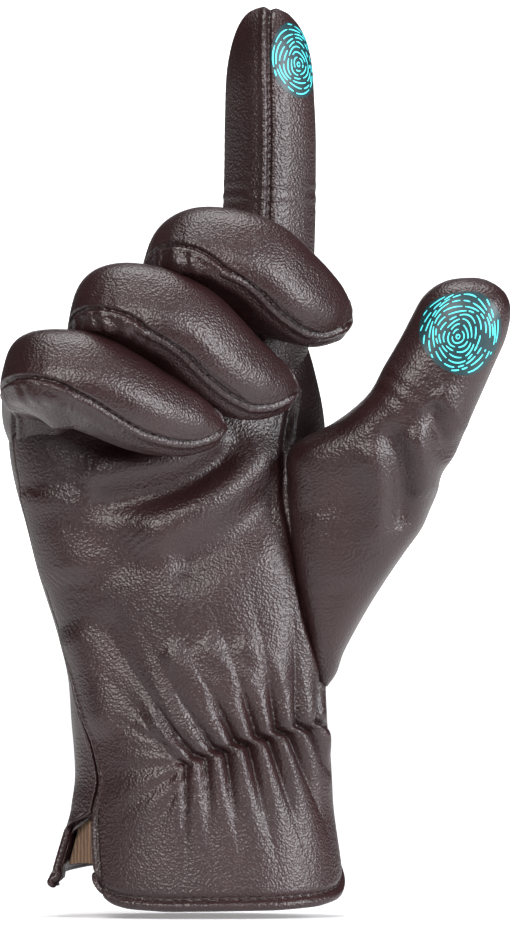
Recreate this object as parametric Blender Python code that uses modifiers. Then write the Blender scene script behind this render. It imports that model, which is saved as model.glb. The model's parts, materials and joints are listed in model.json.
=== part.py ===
"""Right-hand touchscreen glove in nappa leather, in the shape of a worn, pointing hand.

Frame: +Z runs from the wrist opening to the index fingertip, the palm faces -Y, and +X is the
thumb side. The cuff's hem lies at Z = 0. Each finger is a row of stiff sleeves joined by soft
leather where it bends; the sleeves turn about hinges at the finger root, knuckle and end joint.
"""

import math

import bmesh
import bpy
import numpy as np

MM = 0.001

# Driving dimensions, in millimetres.
LEATHER = 1.0  # thickness of the leather
LINING = 0.6  # thickness of the knitted lining
LINING_INSET = 3.4  # lining's outer face below the leather's outer face, on the hand
FINGER_LINING_INSET = 1.5  # the same, in the fingers
SEAM_GAP = 0.45  # gap left between two pieces that are sewn together
HAND_TOP = 148.0  # height of the hand shell's upper edge, where the fingers begin
SIDE_SEAM_ANGLE = 190.0  # where palm and back meet on the little-finger side
VENT_TOP = 27.5  # height of the vent's closed end, on the little-finger side
HEM_DEPTH = 11.0  # depth of the hem turned up inside the cuff
HEM_INSET = 1.9  # hem's outer face below the leather's outer face
ELASTIC_Z = (41.5, 48.0)  # lower and upper edge of the wrist elastic
ELASTIC_INSET = 1.9
AROUND = 12  # points round a finger's section
HAND_SQUARENESS = 2.3  # exponent of the hand section's superellipse

# Hand sections: height, ulnar edge, radial edge, centre depth, half thickness, twist in degrees.
HAND_SECTIONS = (
    (0.0, -37.0, 38.0, 0.0, 26.0, 0.0),
    (12.0, -37.5, 38.0, 0.0, 26.0, 0.0),
    (27.5, -37.5, 36.3, 0.0, 24.5, 0.0),
    (44.0, -35.8, 34.0, 0.0, 22.5, 0.0),
    (64.0, -37.5, 34.0, 0.0, 22.0, 2.0),
    (86.0, -43.8, 36.0, 0.0, 21.0, 4.0),
    (106.0, -48.8, 36.0, -0.5, 20.0, 7.0),
    (127.0, -54.0, 34.0, -1.0, 18.0, 10.0),
    (148.0, -54.5, 32.0, -1.0, 15.0, 13.0),
)
# The shell's upper edge against the angle round the hand: it drops where the fingers curl forwards.
UPPER_EDGE = ((0.0, 148.0), (90.0, 148.0), (150.0, 147.0), (180.0, 142.0), (200.0, 134.0), (225.0, 131.5),
              (255.0, 134.0), (280.0, 141.0), (305.0, 147.0), (360.0, 148.0))
UPPER_EDGE_FROM = 112.0  # the rows above this height follow the upper edge
VENT_FLARE = 6.5  # how far the back's flap stands out at the hem, on the little-finger side
VENT_PALM_EDGE = -29.0  # X of the palm's edge of the vent at the hem

# Thumb seam on the palm: height and X, from the crotch down to the point at the wrist.
THUMB_SEAM = ((136.0, 24.5), (125.0, 21.8), (112.0, 23.0), (98.0, 25.5), (82.0, 28.0), (66.0, 32.5))
THUMB_SEAM_TOP, THUMB_SEAM_POINT = 136.0, 66.0
THUMB_BACK_ANGLE = 18.0  # degrees behind the radial edge where the thumb's back seam runs


def unit(vector):
    vector = np.asarray(vector, float)
    return vector / np.linalg.norm(vector)


def turn(vector, axis, degrees):
    """The vector turned about a unit axis by the right-hand rule."""
    angle = math.radians(degrees)
    vector, axis = np.asarray(vector, float), np.asarray(axis, float)
    along = axis * vector.dot(axis) * (1 - math.cos(angle))
    return vector * math.cos(angle) + np.cross(axis, vector) * math.sin(angle) + along


def curled_axis(droop, tilt):
    """Bending axis of a curled finger whose middle sleeve points to +X and down by droop degrees."""
    droop, tilt = math.radians(droop), math.radians(tilt)
    across = np.array([math.sin(droop), 0.0, math.cos(droop)])
    return math.cos(tilt) * across + math.sin(tilt) * np.array([0.0, 1.0, 0.0])


CURL_TILT = 35.0
# Each finger: where it leaves the hand, its root, knuckle, the sleeve lengths after the knuckle,
# the droop of its middle sleeve, the bend of its end joint, and half width and half thickness.
CURLED = {
    "middle": dict(exit=(-4.0, 3.0, 148.5), root=(-4.0, -1.0, 161.0), knuckle=(-3.0, -28.0, 180.0),
                   lengths=(27.0, 22.0), droop=15.0, end_bend=35.0, half=(10.2, 10.4)),
    "ring": dict(exit=(-25.0, -2.0, 148.5), root=(-25.0, -8.5, 154.0), knuckle=(-23.5, -38.0, 165.5),
                 lengths=(29.0, 25.0), droop=15.0, end_bend=35.0, half=(10.2, 10.4)),
    "little": dict(exit=(-44.0, -8.5, 148.5), root=(-43.0, -17.0, 148.0), knuckle=(-42.0, -44.0, 146.0),
                   lengths=(28.0, 23.0), droop=12.0, end_bend=32.0, half=(9.8, 10.0)),
}
INDEX = dict(exit=(17.5, 7.0, 148.5), root=(17.5, 7.0, 165.0), knuckle=(17.5, 7.0, 195.0),
             end_joint=(17.8, 7.0, 223.0), tip=(18.2, 7.0, 250.0), half=(11.8, 10.8))
INDEX_AXIS = unit((0.85, 0.53, 0.0))
THUMB = dict(root=(49.5, -15.0, 119.0), knuckle=(62.0, -18.0, 147.0), tip=(74.4, -20.0, 174.5),
             half=(14.2, 12.0))
THUMB_AXIS = unit((0.909, 0.0, -0.406))
THUMB_GUSSET_GAP = 1.2  # between the thumb's gusset and the soft leather at its root

FOURCHETTE_HALF_ANGLE = 30.0  # half the angle that a fourchette takes of a finger's section
FOURCHETTE_SIDE = {"index": 180.0, "middle": 180.0, "ring": 180.0, "little": 0.0}
TOUCH_PRINT_RISE = 0.5  # outer face of the printed touch mark above the leather
TOUCH_PRINT = 0.25
TOUCH_PRINT_HALF_ANGLE = 48.0
ROOT_EXIT_TAPER = 0.9  # size of a finger where it leaves the hand, against its size at the root
ROOT_TRIM, KNUCKLE_TRIM, END_TRIM = 8.0, 13.2, 6.0  # soft leather's reach each side of a hinge
INDEX_KNUCKLE_TRIM, INDEX_END_TRIM, THUMB_TRIM = 11.0, 7.0, 8.0

MATERIALS = {
    "leather_brown": ((0.045, 0.027, 0.026), 0.42),
    "leather_soft": ((0.04, 0.024, 0.023), 0.46),
    "lining_knit": ((0.085, 0.045, 0.03), 0.9),
    "elastic": ((0.03, 0.025, 0.025), 0.8),
    "touch_print": ((0.1, 0.75, 0.8), 0.4),
}


def clear_scene():
    for obj in list(bpy.data.objects):
        bpy.data.objects.remove(obj, do_unlink=True)


def make_materials():
    made = {}
    for name, (colour, roughness) in MATERIALS.items():
        material = bpy.data.materials.new(name)
        material.use_nodes = True
        shader = material.node_tree.nodes["Principled BSDF"]
        shader.inputs["Base Color"].default_value = (*colour, 1.0)
        shader.inputs["Roughness"].default_value = roughness
        made[name] = material
    return made


def faces_inwards(build, rows):
    """Whether a tube's faces point towards its own middle line."""
    build.normal_update()
    outwards = 0.0
    for row in rows[:-1]:
        centre = sum((vert.co for vert in row), start=row[0].co * 0) / len(row)
        outwards += sum(vert.link_faces[-1].normal.dot(vert.co - centre) for vert in row)
    return outwards < 0


def grid_object(name, rings, closed, thickness, material, cap=False):
    """A shell lofted through rings of points in mm, thickened inwards by Solidify.

    closed joins each ring's last point to its first; cap closes the last ring with one face.
    """
    mesh = bpy.data.meshes.new(name)
    build = bmesh.new()
    rows = [[build.verts.new(np.asarray(point) * MM) for point in ring] for ring in rings]
    count = len(rows[0])
    for lower, upper in zip(rows, rows[1:]):
        for i in range(count if closed else count - 1):
            j = (i + 1) % count
            build.faces.new((lower[i], lower[j], upper[j], upper[i]))
    if cap:
        build.faces.new(rows[-1])
    if closed and faces_inwards(build, rows):
        bmesh.ops.reverse_faces(build, faces=build.faces)
    build.to_mesh(mesh)
    build.free()
    mesh.shade_smooth()
    obj = bpy.data.objects.new(name, mesh)
    collection.objects.link(obj)
    obj.data.materials.append(materials[material])
    shell = obj.modifiers.new("thickness", "SOLIDIFY")
    shell.thickness = thickness * MM
    shell.offset = -1.0
    return obj


# ---- hand shell -------------------------------------------------------------------------------


def hand_section(height):
    """Ulnar edge, radial edge, centre depth, half thickness and twist at a height."""
    table = np.array(HAND_SECTIONS)
    return [np.interp(height, table[:, 0], table[:, k]) for k in range(1, 6)]


def hand_point(height, angle, inset=0.0, flare=0.0):
    """A point of the hand's section: angle 0 is the thumb side, 90 the back, 270 the palm."""
    ulnar, radial, depth, half, twist = hand_section(height)
    centre, width = (ulnar + radial) / 2, (radial - ulnar) / 2
    cosine, sine = math.cos(math.radians(angle)), math.sin(math.radians(angle))
    power = 2 / HAND_SQUARENESS
    x = math.copysign(abs(cosine) ** power, cosine) * (width - inset)
    y = math.copysign(abs(sine) ** power, sine) * (half - inset)
    if x < 0:
        x *= 1 + flare / width
    twist = math.radians(twist)
    return (
        centre + x * math.cos(twist) - y * math.sin(twist),
        depth + x * math.sin(twist) + y * math.cos(twist),
        height,
    )


def palm_angle(height, x):
    """The angle between 180 and 360 at which the palm's surface has this X."""
    low, high = 181.0, 359.0
    for _ in range(40):
        middle = (low + high) / 2
        if hand_point(height, middle)[0] < x:
            low = middle
        else:
            high = middle
    return (low + high) / 2


def vent_open(height):
    """0 above the vent, rising to 1 at the hem."""
    return max(0.0, 1 - height / VENT_TOP)


def gap_angle():
    """The seam gap as an angle, on the hand's section."""
    return math.degrees(SEAM_GAP / 14.0)


def palm_start(height):
    """Angle of the palm panel's ulnar edge."""
    if height < VENT_TOP:
        at_seam = palm_angle(VENT_TOP, hand_point(VENT_TOP, SIDE_SEAM_ANGLE)[0])
        at_hem = palm_angle(0.0, VENT_PALM_EDGE)
        return at_seam + (at_hem - at_seam) * math.sqrt(vent_open(height))
    return SIDE_SEAM_ANGLE


def palm_end(height):
    """Angle of the palm panel's radial edge, or of the thumb seam where there is one."""
    if THUMB_SEAM_POINT < height < THUMB_SEAM_TOP:
        heights, places = zip(*sorted(THUMB_SEAM))
        return palm_angle(height, np.interp(height, heights, places)) - gap_angle()
    return 360.0 - gap_angle()


def back_start(height):
    """Angle of the back panel's radial edge: it stands back where the thumb is set in."""
    if THUMB_SEAM_POINT < height < THUMB_SEAM_TOP:
        return THUMB_BACK_ANGLE + gap_angle()
    return gap_angle()


def back_end(height):
    return SIDE_SEAM_ANGLE - gap_angle() - 1.5 * (height < VENT_TOP)


def on_shell(height, angle):
    """The height squeezed so that the topmost row follows the shell's upper edge."""
    if height <= UPPER_EDGE_FROM:
        return height
    edge = np.interp(angle, *zip(*UPPER_EDGE))
    return UPPER_EDGE_FROM + (height - UPPER_EDGE_FROM) * (edge - UPPER_EDGE_FROM) / (HAND_TOP - UPPER_EDGE_FROM)


def hand_strip(name, heights, start, end, points, inset, thickness, material, flared=False):
    """A strip of the hand's shell between two edges, each an angle that depends on the height."""
    rings = []
    for height in heights:
        angles = np.linspace(start(height), end(height), points)
        flare = VENT_FLARE * vent_open(height) if flared else 0.0
        rings.append([hand_point(on_shell(height, angle), angle, inset, flare) for angle in angles])
    return grid_object(name, rings, False, thickness, material)


def thumb_edge_heights():
    return [THUMB_SEAM_POINT - 0.01, THUMB_SEAM_POINT + 0.01, THUMB_SEAM_TOP - 0.01, THUMB_SEAM_TOP + 0.01]


def make_hand():
    heights = sorted([0.0, 6.0, 13.0, 20.0, VENT_TOP - 0.05, VENT_TOP + 0.05, 36.0, 44.0, 54.0, 75.0,
                      86.0, 98.0, 112.0, 125.0, HAND_TOP] + thumb_edge_heights())
    hand_strip("palm_leather", heights, palm_start, palm_end, 15, 0.0, LEATHER, "leather_brown")
    hand_strip("back_leather", heights, back_start, back_end, 15, 0.0, LEATHER, "leather_brown", True)
    lining_heights = [HEM_DEPTH + 1.5, 20.0, 30.0, 44.0, 60.0] + thumb_edge_heights() + [
        86.0, 98.0, 112.0, 125.0, HAND_TOP - 0.5]
    hand_strip("palm_lining", sorted(lining_heights), palm_start, palm_end, 12, LINING_INSET, LINING, "lining_knit")
    hand_strip("back_lining", sorted(lining_heights), back_start, back_end, 12, LINING_INSET, LINING,
               "lining_knit", True)
    hem_heights = [0.3, HEM_DEPTH / 2, HEM_DEPTH]
    hand_strip("palm_cuff_hem", hem_heights, palm_start, palm_end, 15, HEM_INSET, LEATHER, "leather_brown")
    hand_strip("back_cuff_hem", hem_heights, back_start, back_end, 15, HEM_INSET, LEATHER, "leather_brown", True)
    facing_heights = [HEM_DEPTH + 0.6, 18.0, VENT_TOP + 3.0]
    hand_strip("palm_vent_facing", facing_heights, palm_start, lambda z: palm_start(z) + 10.0, 3,
               HEM_INSET, LINING, "leather_soft")
    hand_strip("back_vent_facing", facing_heights, lambda z: back_end(z) - 10.0, back_end, 3,
               HEM_INSET, LINING, "leather_soft", True)
    hand_strip("wrist_elastic", ELASTIC_Z, lambda z: palm_angle(z, -6.0), lambda z: 352.0, 8,
               ELASTIC_INSET, LINING, "elastic")


# ---- fingers ----------------------------------------------------------------------------------


FULL_CIRCLE = tuple(np.arange(AROUND) * 360.0 / AROUND)


def section(centre, along, across, half, angles=FULL_CIRCLE):
    """One ring of a finger: across is the direction of its width, and 90 degrees is its back."""
    along = unit(along)
    across = unit(np.asarray(across) - along * np.dot(across, along))
    back = np.cross(along, across)
    turns = [math.radians(angle) for angle in angles]
    return [centre + across * half[0] * math.cos(a) + back * half[1] * math.sin(a) for a in turns]


def shrunk(half, inset):
    return half[0] - inset, half[1] - inset


def sleeve(name, start, end, across, half, inset, thickness, material, angles=None):
    """A stiff straight tube, or a strip of one between the first and last of the angles."""
    start, end = np.asarray(start, float), np.asarray(end, float)
    half_in = shrunk(half, inset)
    places = [start + (end - start) * f for f in (0.0, 0.5, 1.0)]
    rings = [section(place, end - start, across, half_in, angles or FULL_CIRCLE) for place in places]
    return grid_object(name, rings, angles is None, thickness, material)


def sleeve_with_fourchette(name, start, end, across, half, side):
    """A sleeve whose side, 0 or 180 degrees round, is a separate sewn-in strip."""
    edge = FOURCHETTE_HALF_ANGLE
    gap = math.degrees(SEAM_GAP / half[1])
    wide = np.linspace(side + edge + gap, side + 360.0 - edge - gap, AROUND)
    narrow = np.linspace(side - edge, side + edge, 4)
    sleeve(f"{name}_proximal_leather", start, end, across, half, 0.0, LEATHER, "leather_brown", tuple(wide))
    sleeve(f"{name}_fourchette", start, end, across, half, 0.0, LEATHER, "leather_soft", tuple(narrow))


def bend_rings(start, start_along, end, end_along, across, half, steps, taper):
    """Rings that turn from one sleeve's end to the next sleeve's start, along a smooth curve."""
    start, end = np.asarray(start, float), np.asarray(end, float)
    start_along, end_along = unit(start_along), unit(end_along)
    reach = np.linalg.norm(end - start) * 0.42
    rings = []
    for t in np.linspace(0, 1, steps):
        a, b, c, d = (1 - t) ** 3, 3 * t * (1 - t) ** 2, 3 * t * t * (1 - t), t**3
        point = a * start + b * (start + start_along * reach) + c * (end - end_along * reach) + d * end
        along = unit(start_along * (1 - t) + end_along * t + 1e-6)
        size = taper + (1 - taper) * t
        rings.append(section(point, along, across, (half[0] * size, half[1] * size)))
    return rings


def bend(name, start, start_along, end, end_along, across, half, steps, taper=1.0):
    """Soft leather round a joint. taper is its size at the start, against its size at the end."""
    rings = bend_rings(start, start_along, end, end_along, across, half, steps, taper)
    return grid_object(name, rings, True, LEATHER, "leather_soft")


def tip_rings(start, end, across, half, inset, angles=FULL_CIRCLE):
    """Rings of a sleeve that ends in a dome."""
    start, end = np.asarray(start, float), np.asarray(end, float)
    along = unit(end - start)
    half_in = shrunk(half, inset)
    end = end - along * inset
    length = np.linalg.norm(end - start)
    dome = min(half_in[1] * 1.1, length * 0.8)
    rings = [section(start, along, across, half_in, angles)]
    for angle in (0.0, 30.0, 55.0, 75.0):
        out = math.cos(math.radians(angle))
        point = end - along * dome * (1 - math.sin(math.radians(angle)))
        rings.append(section(point, along, across, (half_in[0] * out, half_in[1] * out), angles))
    return rings


def tip(name, start, end, across, half, inset, thickness, material):
    """A sleeve with a rounded closed end."""
    rings = tip_rings(start, end, across, half, inset)
    return grid_object(name, rings, True, thickness, material, cap=True)


def touch_print(name, start, end, across, half):
    """The printed mark on the fingertip's pad, a thin patch that follows the dome."""
    reach = TOUCH_PRINT_HALF_ANGLE
    angles = tuple(np.linspace(270.0 - reach, 270.0 + reach, 6))
    rings = tip_rings(start, end, across, half, -TOUCH_PRINT_RISE, angles)[:-1]
    return grid_object(name, rings, False, TOUCH_PRINT, "touch_print")


def make_finger(name, exit_point, root, knuckle, end_joint, tip_point, across, half, trims):
    """A finger of three sleeves: trims are the soft leather's reach at the root, knuckle and end joint."""
    exit_point, root, knuckle, end_joint, tip_point = (
        np.asarray(p, float) for p in (exit_point, root, knuckle, end_joint, tip_point)
    )
    first, second, third = unit(knuckle - root), unit(end_joint - knuckle), unit(tip_point - end_joint)
    gap = SEAM_GAP
    low, high = root + first * trims[0], knuckle - first * trims[1]
    sleeve_with_fourchette(name, low, high, across, half, FOURCHETTE_SIDE[name])
    sleeve(f"{name}_proximal_lining", low, high, across, half, FINGER_LINING_INSET, LINING, "lining_knit")
    low, high = knuckle + second * trims[1], end_joint - second * trims[2]
    sleeve(f"{name}_middle_leather", low, high, across, half, 0.0, LEATHER, "leather_brown")
    sleeve(f"{name}_middle_lining", low, high, across, half, FINGER_LINING_INSET, LINING, "lining_knit")
    tip_start = end_joint + third * trims[2]
    tip(f"{name}_tip_leather", tip_start, tip_point, across, half, 0.0, LEATHER, "leather_brown")
    tip(f"{name}_tip_lining", tip_start, tip_point, across, half, FINGER_LINING_INSET, LINING, "lining_knit")
    bend(f"{name}_root_gusset", exit_point, (0, 0, 1), root + first * (trims[0] - gap), first, across, half, 6,
         ROOT_EXIT_TAPER)
    bend(f"{name}_knuckle_gusset", knuckle - first * (trims[1] - gap), first,
         knuckle + second * (trims[1] - gap), second, across, half, 7)
    bend(f"{name}_end_gusset", end_joint - second * (trims[2] - gap), second,
         end_joint + third * (trims[2] - gap), third, across, half, 4)


def curled_joints(spec):
    """Bending axis, end joint and tip of a curled finger."""
    axis = curled_axis(spec["droop"], CURL_TILT)
    droop = math.radians(spec["droop"])
    second = np.array([math.cos(droop), 0.0, -math.sin(droop)])
    third = turn(second, axis, spec["end_bend"])
    end_joint = np.asarray(spec["knuckle"]) + second * spec["lengths"][0]
    return axis, end_joint, end_joint + third * spec["lengths"][1]


def make_fingers():
    make_finger("index", INDEX["exit"], INDEX["root"], INDEX["knuckle"], INDEX["end_joint"], INDEX["tip"],
                INDEX_AXIS, INDEX["half"], (ROOT_TRIM, INDEX_KNUCKLE_TRIM, INDEX_END_TRIM))
    touch_print("index_touch_print", np.asarray(INDEX["end_joint"]) + np.array([0.0, 0.0, INDEX_END_TRIM]),
                INDEX["tip"], INDEX_AXIS, INDEX["half"])
    for name, spec in CURLED.items():
        axis, end_joint, tip_point = curled_joints(spec)
        make_finger(name, spec["exit"], spec["root"], spec["knuckle"], end_joint, tip_point, axis,
                    spec["half"], (ROOT_TRIM, KNUCKLE_TRIM, END_TRIM))


# ---- thumb ------------------------------------------------------------------------------------


def thumb_opening():
    """The loop on the hand's shell that the thumb piece is sewn to, from its lower point round."""
    low, high = THUMB_SEAM_POINT + 1.5, THUMB_SEAM_TOP - 1.0
    up = np.linspace(low, high, AROUND // 2 + 1)
    palm_side = [hand_point(z, palm_end(z) + 2 * gap_angle()) for z in up]
    back_side = [hand_point(z, back_start(z) - 2 * gap_angle()) for z in up[::-1]]
    return palm_side + back_side[1:-1]


def make_thumb():
    root, knuckle, tip_point = (np.asarray(THUMB[k], float) for k in ("root", "knuckle", "tip"))
    first, second = unit(knuckle - root), unit(tip_point - knuckle)
    half = THUMB["half"]
    loop = np.array(thumb_opening())
    target = section(root - first * (THUMB_TRIM + THUMB_GUSSET_GAP), first, THUMB_AXIS, half)
    target = best_match(loop, np.array(target))
    rings = [loop * (1 - f) + target * f for f in (0.0, 0.3, 0.65, 1.0)]
    grid_object("thumb_gusset_leather", rings, True, LEATHER, "leather_brown")
    start = root - first * THUMB_TRIM
    bend("thumb_root_gusset", start, first, root + first * (THUMB_TRIM - SEAM_GAP), first,
         THUMB_AXIS, half, 4)
    low, high = root + first * THUMB_TRIM, knuckle - first * THUMB_TRIM
    sleeve("thumb_proximal_leather", low, high, THUMB_AXIS, half, 0.0, LEATHER, "leather_brown")
    sleeve("thumb_proximal_lining", low, high, THUMB_AXIS, half, FINGER_LINING_INSET, LINING, "lining_knit")
    bend("thumb_knuckle_gusset", knuckle - first * (THUMB_TRIM - SEAM_GAP), first,
         knuckle + second * (THUMB_TRIM - SEAM_GAP), second, THUMB_AXIS, half, 4)
    start = knuckle + second * THUMB_TRIM
    touch_print("thumb_touch_print", start, tip_point, THUMB_AXIS, half)
    tip("thumb_tip_leather", start, tip_point, THUMB_AXIS, half, 0.0, LEATHER, "leather_brown")
    tip("thumb_tip_lining", start, tip_point, THUMB_AXIS, half, FINGER_LINING_INSET, LINING, "lining_knit")


def best_match(loop, target):
    """The target ring in the order and direction that lie nearest the loop, point by point."""
    best = None
    for ring in (target, target[::-1]):
        for shift in range(len(ring)):
            turned = np.roll(ring, shift, axis=0)
            offsets = (turned - turned.mean(0)) - (loop - loop.mean(0))
            cost = (offsets**2).sum()
            if best is None or cost < best[0]:
                best = (cost, turned)
    return best[1]


clear_scene()
collection = bpy.data.collections.new("touchscreen_glove")
bpy.context.scene.collection.children.link(collection)
materials = make_materials()
make_hand()
make_fingers()
make_thumb()
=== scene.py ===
import json
import math

import bpy
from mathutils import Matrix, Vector
import numpy as np


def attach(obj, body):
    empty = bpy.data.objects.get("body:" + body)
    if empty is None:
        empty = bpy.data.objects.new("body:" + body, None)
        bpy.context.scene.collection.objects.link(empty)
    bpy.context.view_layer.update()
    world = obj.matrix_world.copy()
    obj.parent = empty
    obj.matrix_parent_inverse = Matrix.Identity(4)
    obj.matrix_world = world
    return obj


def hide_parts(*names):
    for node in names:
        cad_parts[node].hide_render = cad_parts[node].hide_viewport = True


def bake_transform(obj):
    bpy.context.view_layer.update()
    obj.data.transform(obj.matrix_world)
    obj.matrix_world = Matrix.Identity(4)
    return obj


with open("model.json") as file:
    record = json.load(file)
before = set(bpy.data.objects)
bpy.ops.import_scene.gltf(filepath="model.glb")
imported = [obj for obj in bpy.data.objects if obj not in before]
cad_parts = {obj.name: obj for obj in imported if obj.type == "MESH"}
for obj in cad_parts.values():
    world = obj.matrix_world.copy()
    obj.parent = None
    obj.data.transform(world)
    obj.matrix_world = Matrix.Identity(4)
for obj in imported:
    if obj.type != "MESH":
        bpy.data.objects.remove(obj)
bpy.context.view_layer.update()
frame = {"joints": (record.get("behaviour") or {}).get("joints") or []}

# One leather touchscreen glove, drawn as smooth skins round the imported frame. All lengths here are in
# millimetres in the row frame: +Z from the hem to the fingertips, the palm faces -Y, the thumb is at +X.
MM = 0.001
FINE = 0.62  # spacing of the skins' points along a finger
HAND_FINE = 0.62
FINGER_AROUND = 168
HAND_AROUND = 372
THUMB_AROUND = 192


# ---------------------------------------------------------------- small maths

def unit(v):
    v = np.asarray(v, float)
    return v / np.maximum(np.linalg.norm(v, axis=-1, keepdims=True), 1e-12)


def smooth(low, high, x):
    t = np.clip((np.asarray(x, float) - low) / (high - low), 0, 1)
    return t * t * (3 - 2 * t)


def bell(x, width):
    return np.exp(-((x / width) ** 2))


# The noise's own axes are turned, so that its cells never line up with the glove.
NOISE_TURN = np.array([[0.612, -0.354, 0.707], [0.707, 0.612, -0.354], [-0.354, 0.707, 0.612]])


def lattice(points, size, seed):
    """Smooth noise from -1 to 1 with features of about this size, the same on every run."""
    q = np.asarray(points, float) @ NOISE_TURN / size
    cell = np.floor(q).astype(np.int64)
    f = q - cell
    f = f * f * (3 - 2 * f)
    total = np.zeros(q.shape[:-1])
    for i in (0, 1):
        for j in (0, 1):
            for k in (0, 1):
                c = cell + np.array([i, j, k])
                h = (c[..., 0] * 73856093) ^ (c[..., 1] * 19349663) ^ (c[..., 2] * 83492791) ^ (seed * 6971)
                h = (h ^ (h >> 13)) * 1274126177
                value = ((h ^ (h >> 16)) & 0xFFFFFF) / 0xFFFFFF
                w = (f[..., 0] if i else 1 - f[..., 0]) * (f[..., 1] if j else 1 - f[..., 1])
                total += value * w * (f[..., 2] if k else 1 - f[..., 2])
    return total * 2 - 1


def curve(points, step=0.5, around=12):
    """A smooth line through the points, every step apart. Columns after the third are carried along."""
    p = np.asarray(points, float)
    ends = np.vstack([2 * p[0] - p[1], p, 2 * p[-1] - p[-2]])
    t = np.linspace(0, 1, around, endpoint=False)[:, None]
    fine = []
    for i in range(len(p) - 1):
        a, b, c, d = ends[i : i + 4]
        fine.append(0.5 * (2 * b + (c - a) * t + (2 * a - 5 * b + 4 * c - d) * t**2
                           + (3 * b - a - 3 * c + d) * t**3))
    fine = np.vstack(fine + [p[-1:]])
    places = min(3, p.shape[1])
    along = np.r_[0, np.cumsum(np.linalg.norm(np.diff(fine[:, :places], axis=0), axis=1))]
    at = np.linspace(0, along[-1], max(int(along[-1] / step), 2) + 1)
    return np.stack([np.interp(at, along, fine[:, k]) for k in range(fine.shape[1])], 1)


def grid_normals(grid, closed):
    """Outward unit normals of a grid of rings; rings run anticlockwise seen from the last ring."""
    if closed:
        around = np.roll(grid, -1, 1) - np.roll(grid, 1, 1)
    else:
        around = np.gradient(grid, axis=1)
    along = np.gradient(grid, axis=0)
    return unit(np.cross(around, along))


def blurred(field, rows, columns, closed):
    """The field smoothed by repeated three-point averages."""
    for _ in range(rows):
        padded = np.concatenate([field[:1], field, field[-1:]])
        field = (padded[:-2] + 2 * field + padded[2:]) / 4
    for _ in range(columns):
        if closed:
            field = (np.roll(field, 1, 1) + 2 * field + np.roll(field, -1, 1)) / 4
        else:
            padded = np.concatenate([field[:, :1], field, field[:, -1:]], 1)
            field = (padded[:, :-2] + 2 * field + padded[:, 2:]) / 4
    return field


def distance_to(points, line):
    """Distance of each point to the nearest of a polyline's points, and that point's index."""
    flat = points.reshape(-1, points.shape[-1])
    nearest = np.empty(len(flat), int)
    found = np.empty(len(flat))
    for start in range(0, len(flat), 4000):
        part = flat[start : start + 4000]
        gap = ((part[:, None, :] - line[None]) ** 2).sum(-1)
        nearest[start : start + 4000] = gap.argmin(1)
        found[start : start + 4000] = np.sqrt(gap.min(1))
    return found.reshape(points.shape[:-1]), nearest.reshape(points.shape[:-1])


def seam_profile(d, along, groove=1.3, lip=0.5, pitch=2.4):
    """Height of a sewn seam at distance d from it: a groove, puckered a little at each stitch, with a full
    lip on the side where d is positive and a faint one on the other."""
    pucker = 1 + 0.16 * np.sin(2 * math.pi * along / pitch)
    full = lip * pucker * bell(d - 1.5, 1.0)
    return -groove * pucker * bell(d, 0.5) + full + 0.3 * lip * bell(d + 1.3, 0.8)


# ---------------------------------------------------------------- materials

def material(name, colour, roughness):
    made = bpy.data.materials.new(name)
    made.use_nodes = True
    shader = made.node_tree.nodes["Principled BSDF"]
    shader.inputs["Base Color"].default_value = (*colour, 1)
    shader.inputs["Roughness"].default_value = roughness
    return made, made.node_tree.nodes, made.node_tree.links, shader


def leather_material(name, dark, light, grain=0.35):
    """Dyed sheepskin: a fine pebble grain, a little mottling, and a soft sheen."""
    made, nodes, links, shader = material(name, dark, 0.42)
    place = nodes.new("ShaderNodeTexCoord")
    pebbles = nodes.new("ShaderNodeTexVoronoi")
    pebbles.feature = "SMOOTH_F1"
    pebbles.inputs["Scale"].default_value = 1500
    pebbles.inputs["Smoothness"].default_value = 0.6
    pores = nodes.new("ShaderNodeTexNoise")
    pores.inputs["Scale"].default_value = 1700
    pores.inputs["Detail"].default_value = 3
    mottle = nodes.new("ShaderNodeTexNoise")
    mottle.inputs["Scale"].default_value = 55
    mottle.inputs["Detail"].default_value = 6
    for texture in (pebbles, pores, mottle):
        links.new(place.outputs["Object"], texture.inputs["Vector"])
    ramp = nodes.new("ShaderNodeValToRGB")
    ramp.color_ramp.elements[0].position = 0.35
    ramp.color_ramp.elements[1].position = 0.7
    ramp.color_ramp.elements[0].color = (*dark, 1)
    ramp.color_ramp.elements[1].color = (*light, 1)
    links.new(mottle.outputs["Fac"], ramp.inputs["Fac"])
    links.new(ramp.outputs["Color"], shader.inputs["Base Color"])
    rough = nodes.new("ShaderNodeMapRange")
    rough.inputs["To Min"].default_value = 0.345
    rough.inputs["To Max"].default_value = 0.435
    links.new(pores.outputs["Fac"], rough.inputs["Value"])
    links.new(rough.outputs["Result"], shader.inputs["Roughness"])
    mixed = nodes.new("ShaderNodeMath")
    mixed.operation = "MULTIPLY_ADD"
    mixed.inputs[1].default_value = 0.45
    links.new(pores.outputs["Fac"], mixed.inputs[0])
    links.new(pebbles.outputs["Distance"], mixed.inputs[2])
    bump = nodes.new("ShaderNodeBump")
    bump.inputs["Strength"].default_value = grain
    bump.inputs["Distance"].default_value = 0.00034
    links.new(mixed.outputs["Value"], bump.inputs["Height"])
    links.new(bump.outputs["Normal"], shader.inputs["Normal"])
    shader.inputs["Specular IOR Level"].default_value = 0.55
    return made


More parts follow.
